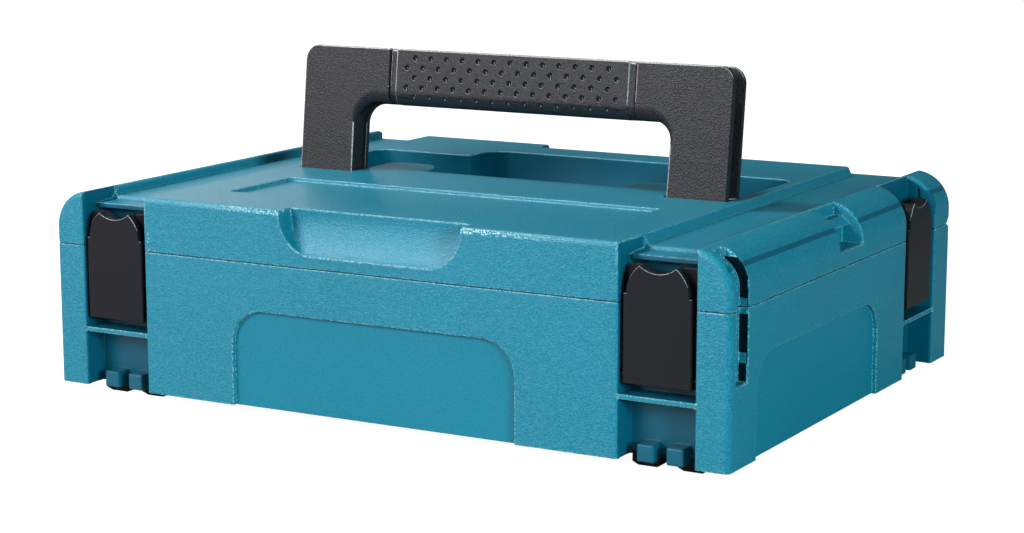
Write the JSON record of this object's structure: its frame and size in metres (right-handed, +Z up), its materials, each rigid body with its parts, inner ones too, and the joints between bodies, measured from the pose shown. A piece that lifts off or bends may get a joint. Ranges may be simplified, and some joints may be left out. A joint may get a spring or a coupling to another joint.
{
  "type": "hard tool case",
  "caption": "Flat stackable hard tool case with a rear-hinged lid, fold-down carrying handle and corner latches that also couple a case on top",
  "frame": {"origin": "under the middle of the case, on the plane the feet stand on", "axes": "+X to the right along the case's width, +Y from the latched front to the hinged back, +Z up"},
  "size_m": [0.396, 0.296, 0.1803],
  "materials": {
    "case_plastic": "teal moulded plastic with a fine spark texture",
    "handle_plastic": "black moulded plastic with a leathery grain",
    "grip_plastic": "black moulded plastic, smoother, with round dimples",
    "latch_plastic": "black satin moulded plastic",
    "pin_steel": "drawn steel pin",
    "foot_rubber": "black rubber"
  },
  "bodies": {
    "case": {"body_shell": "case_plastic", "hinge_pin_left": "pin_steel", "hinge_pin_right": "pin_steel", "foot_front_left": "foot_rubber", "foot_front_right": "foot_rubber", "foot_rear_left": "foot_rubber", "foot_rear_right": "foot_rubber"},
    "lid": {"lid_shell": "case_plastic", "handle_pin_left": "pin_steel", "handle_pin_right": "pin_steel"},
    "handle": {"handle_front_shell": "handle_plastic", "handle_back_shell": "handle_plastic", "handle_grip": "grip_plastic"},
    "axle_front_left": {"latch_axle_front_left": "latch_plastic"},
    "latch_front_left": {"latch_front_left": "latch_plastic"},
    "axle_front_right": {"latch_axle_front_right": "latch_plastic"},
    "latch_front_right": {"latch_front_right": "latch_plastic"},
    "axle_rear_left": {"latch_axle_rear_left": "latch_plastic"},
    "latch_rear_left": {"latch_rear_left": "latch_plastic"},
    "axle_rear_right": {"latch_axle_rear_right": "latch_plastic"},
    "latch_rear_right": {"latch_rear_right": "latch_plastic"}
  },
  "joints": [
    {"name": "lid_hinge", "type": "hinge", "parent": "case", "child": "lid", "pos_m": [0, 0.1435, 0.0825], "axis": [-1, 0, 0], "range_deg": [0, 95]},
    {"name": "handle_hinge", "type": "hinge", "parent": "lid", "child": "handle", "pos_m": [0, -0.0037, 0.102], "axis": [-1, 0, 0], "range_deg": [0, 83.3]},
    {"name": "latch_lift_front_left", "type": "slide", "parent": "case", "child": "axle_front_left", "axis": [0, 0, 1], "range_m": [0, 0.0295]},
    {"name": "latch_swing_front_left", "type": "hinge", "parent": "axle_front_left", "child": "latch_front_left", "pos_m": [-0.15975, -0.143, 0.0475], "axis": [1, 0, 0], "range_deg": [0, 115]},
    {"name": "latch_lift_front_right", "type": "slide", "parent": "case", "child": "axle_front_right", "axis": [0, 0, 1], "range_m": [0, 0.0295]},
    {"name": "latch_swing_front_right", "type": "hinge", "parent": "axle_front_right", "child": "latch_front_right", "pos_m": [0.15975, -0.143, 0.0475], "axis": [1, 0, 0], "range_deg": [0, 115]},
    {"name": "latch_lift_rear_left", "type": "slide", "parent": "case", "child": "axle_rear_left", "axis": [0, 0, 1], "range_m": [0, 0.0295]},
    {"name": "latch_swing_rear_left", "type": "hinge", "parent": "axle_rear_left", "child": "latch_rear_left", "pos_m": [-0.193, 0.1015, 0.0475], "axis": [0, -1, 0], "range_deg": [0, 115]},
    {"name": "latch_lift_rear_right", "type": "slide", "parent": "case", "child": "axle_rear_right", "axis": [0, 0, 1], "range_m": [0, 0.0295]},
    {"name": "latch_swing_rear_right", "type": "hinge", "parent": "axle_rear_right", "child": "latch_rear_right", "pos_m": [0.193, 0.1015, 0.0475], "axis": [0, 1, 0], "range_deg": [0, 115]}
  ]
}
